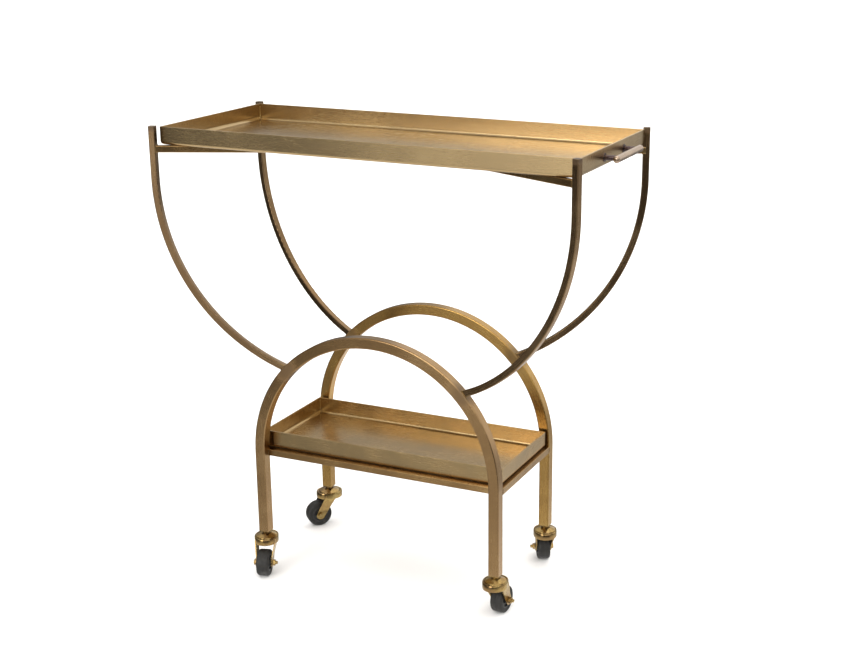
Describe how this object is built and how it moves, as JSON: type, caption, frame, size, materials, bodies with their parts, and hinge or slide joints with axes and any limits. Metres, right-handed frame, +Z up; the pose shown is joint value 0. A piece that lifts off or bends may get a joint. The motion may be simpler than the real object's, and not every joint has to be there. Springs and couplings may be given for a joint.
{
  "type": "bar cart",
  "caption": "Arched tubular serving cart with a lift-off upper tray, a lower tray and swivel casters, in antique brass.",
  "frame": {"origin": "on the floor, under the middle of the cart", "axes": "+X along the cart's length towards the right handle, +Y to the back, +Z up"},
  "size_m": [0.847, 0.3578, 0.841],
  "materials": {
    "frame_brass": "antique brushed",
    "tray_brass": "antique brushed",
    "dark_bronze": "dark patina",
    "caster_brass": "satin plated",
    "bearing_steel": "satin",
    "black_plastic": "matte",
    "tyre_rubber": "matte"
  },
  "bodies": {
    "frame": {"arch_front": "frame_brass", "arch_back": "frame_brass", "arm_front_left": "frame_brass", "arm_front_right": "frame_brass", "arm_back_left": "frame_brass", "arm_back_right": "frame_brass", "brace_through": "frame_brass", "brace_left_half": "frame_brass", "brace_right_half": "frame_brass", "shelf_angle_front": "frame_brass", "shelf_angle_back": "frame_brass", "shelf_angle_left": "frame_brass", "shelf_angle_right": "frame_brass", "leg_plugs": "frame_brass", "swivel_balls": "bearing_steel", "caster_stem_front_left": "caster_brass", "caster_stem_front_right": "caster_brass", "caster_stem_back_left": "caster_brass", "caster_stem_back_right": "caster_brass", "swivel_cap_front_left": "caster_brass", "swivel_cap_front_right": "caster_brass", "swivel_cap_back_left": "caster_brass", "swivel_cap_back_right": "caster_brass"},
    "upper_tray": {"upper_tray": "tray_brass", "handle_bar_left": "frame_brass", "handle_bar_right": "frame_brass", "handle_posts_left": "dark_bronze", "handle_posts_right": "dark_bronze", "handle_collars_left": "dark_bronze", "handle_collars_right": "dark_bronze"},
    "lower_tray": {"lower_tray": "tray_brass"},
    "swivel_front_left": {"caster_fork_front_left": "caster_brass", "axle_sleeve_front_left": "bearing_steel", "axle_bolt_front_left": "caster_brass", "axle_nut_front_left": "caster_brass"},
    "wheel_front_left": {"wheel_hub_front_left": "black_plastic", "wheel_tyre_front_left": "tyre_rubber"},
    "swivel_front_right": {"caster_fork_front_right": "caster_brass", "axle_sleeve_front_right": "bearing_steel", "axle_bolt_front_right": "caster_brass", "axle_nut_front_right": "caster_brass"},
    "wheel_front_right": {"wheel_hub_front_right": "black_plastic", "wheel_tyre_front_right": "tyre_rubber"},
    "swivel_back_left": {"caster_fork_back_left": "caster_brass", "axle_sleeve_back_left": "bearing_steel", "axle_bolt_back_left": "caster_brass", "axle_nut_back_left": "caster_brass"},
    "wheel_back_left": {"wheel_hub_back_left": "black_plastic", "wheel_tyre_back_left": "tyre_rubber"},
    "swivel_back_right": {"caster_fork_back_right": "caster_brass", "axle_sleeve_back_right": "bearing_steel", "axle_bolt_back_right": "caster_brass", "axle_nut_back_right": "caster_brass"},
    "wheel_back_right": {"wheel_hub_back_right": "black_plastic", "wheel_tyre_back_right": "tyre_rubber"}
  },
  "joints": [
    {"name": "upper_tray_lift", "type": "slide", "parent": "frame", "child": "upper_tray", "axis": [0, 0, 1], "range_m": [0, 0.15]},
    {"name": "lower_tray_lift", "type": "slide", "parent": "frame", "child": "lower_tray", "axis": [0, 0, 1], "range_m": [0, 0.12]},
    {"name": "swivel_front_left", "type": "hinge", "parent": "frame", "child": "swivel_front_left", "pos_m": [-0.236, -0.118, 0.07], "axis": [0, 0, 1], "continuous": true},
    {"name": "wheel_front_left", "type": "hinge", "parent": "swivel_front_left", "child": "wheel_front_left", "pos_m": [-0.22819, -0.14069, 0.025], "axis": [0.9455, 0.3256, 0], "continuous": true},
    {"name": "swivel_front_right", "type": "hinge", "parent": "frame", "child": "swivel_front_right", "pos_m": [0.236, -0.118, 0.07], "axis": [0, 0, 1], "continuous": true},
    {"name": "wheel_front_right", "type": "hinge", "parent": "swivel_front_right", "child": "wheel_front_right", "pos_m": [0.23767, -0.09406, 0.025], "axis": [-0.9976, 0.0698, 0], "continuous": true},
    {"name": "swivel_back_left", "type": "hinge", "parent": "frame", "child": "swivel_back_left", "pos_m": [-0.236, 0.118, 0.07], "axis": [0, 0, 1], "continuous": true},
    {"name": "wheel_back_left", "type": "hinge", "parent": "swivel_back_left", "child": "wheel_back_left", "pos_m": [-0.25206, 0.10017, 0.025], "axis": [0.7431, -0.6691, 0], "continuous": true},
    {"name": "swivel_back_right", "type": "hinge", "parent": "frame", "child": "swivel_back_right", "pos_m": [0.236, 0.118, 0.07], "axis": [0, 0, 1], "continuous": true},
    {"name": "wheel_back_right", "type": "hinge", "parent": "swivel_back_right", "child": "wheel_back_right", "pos_m": [0.224, 0.13878, 0.025], "axis": [-0.866, -0.5, 0], "continuous": true}
  ]
}
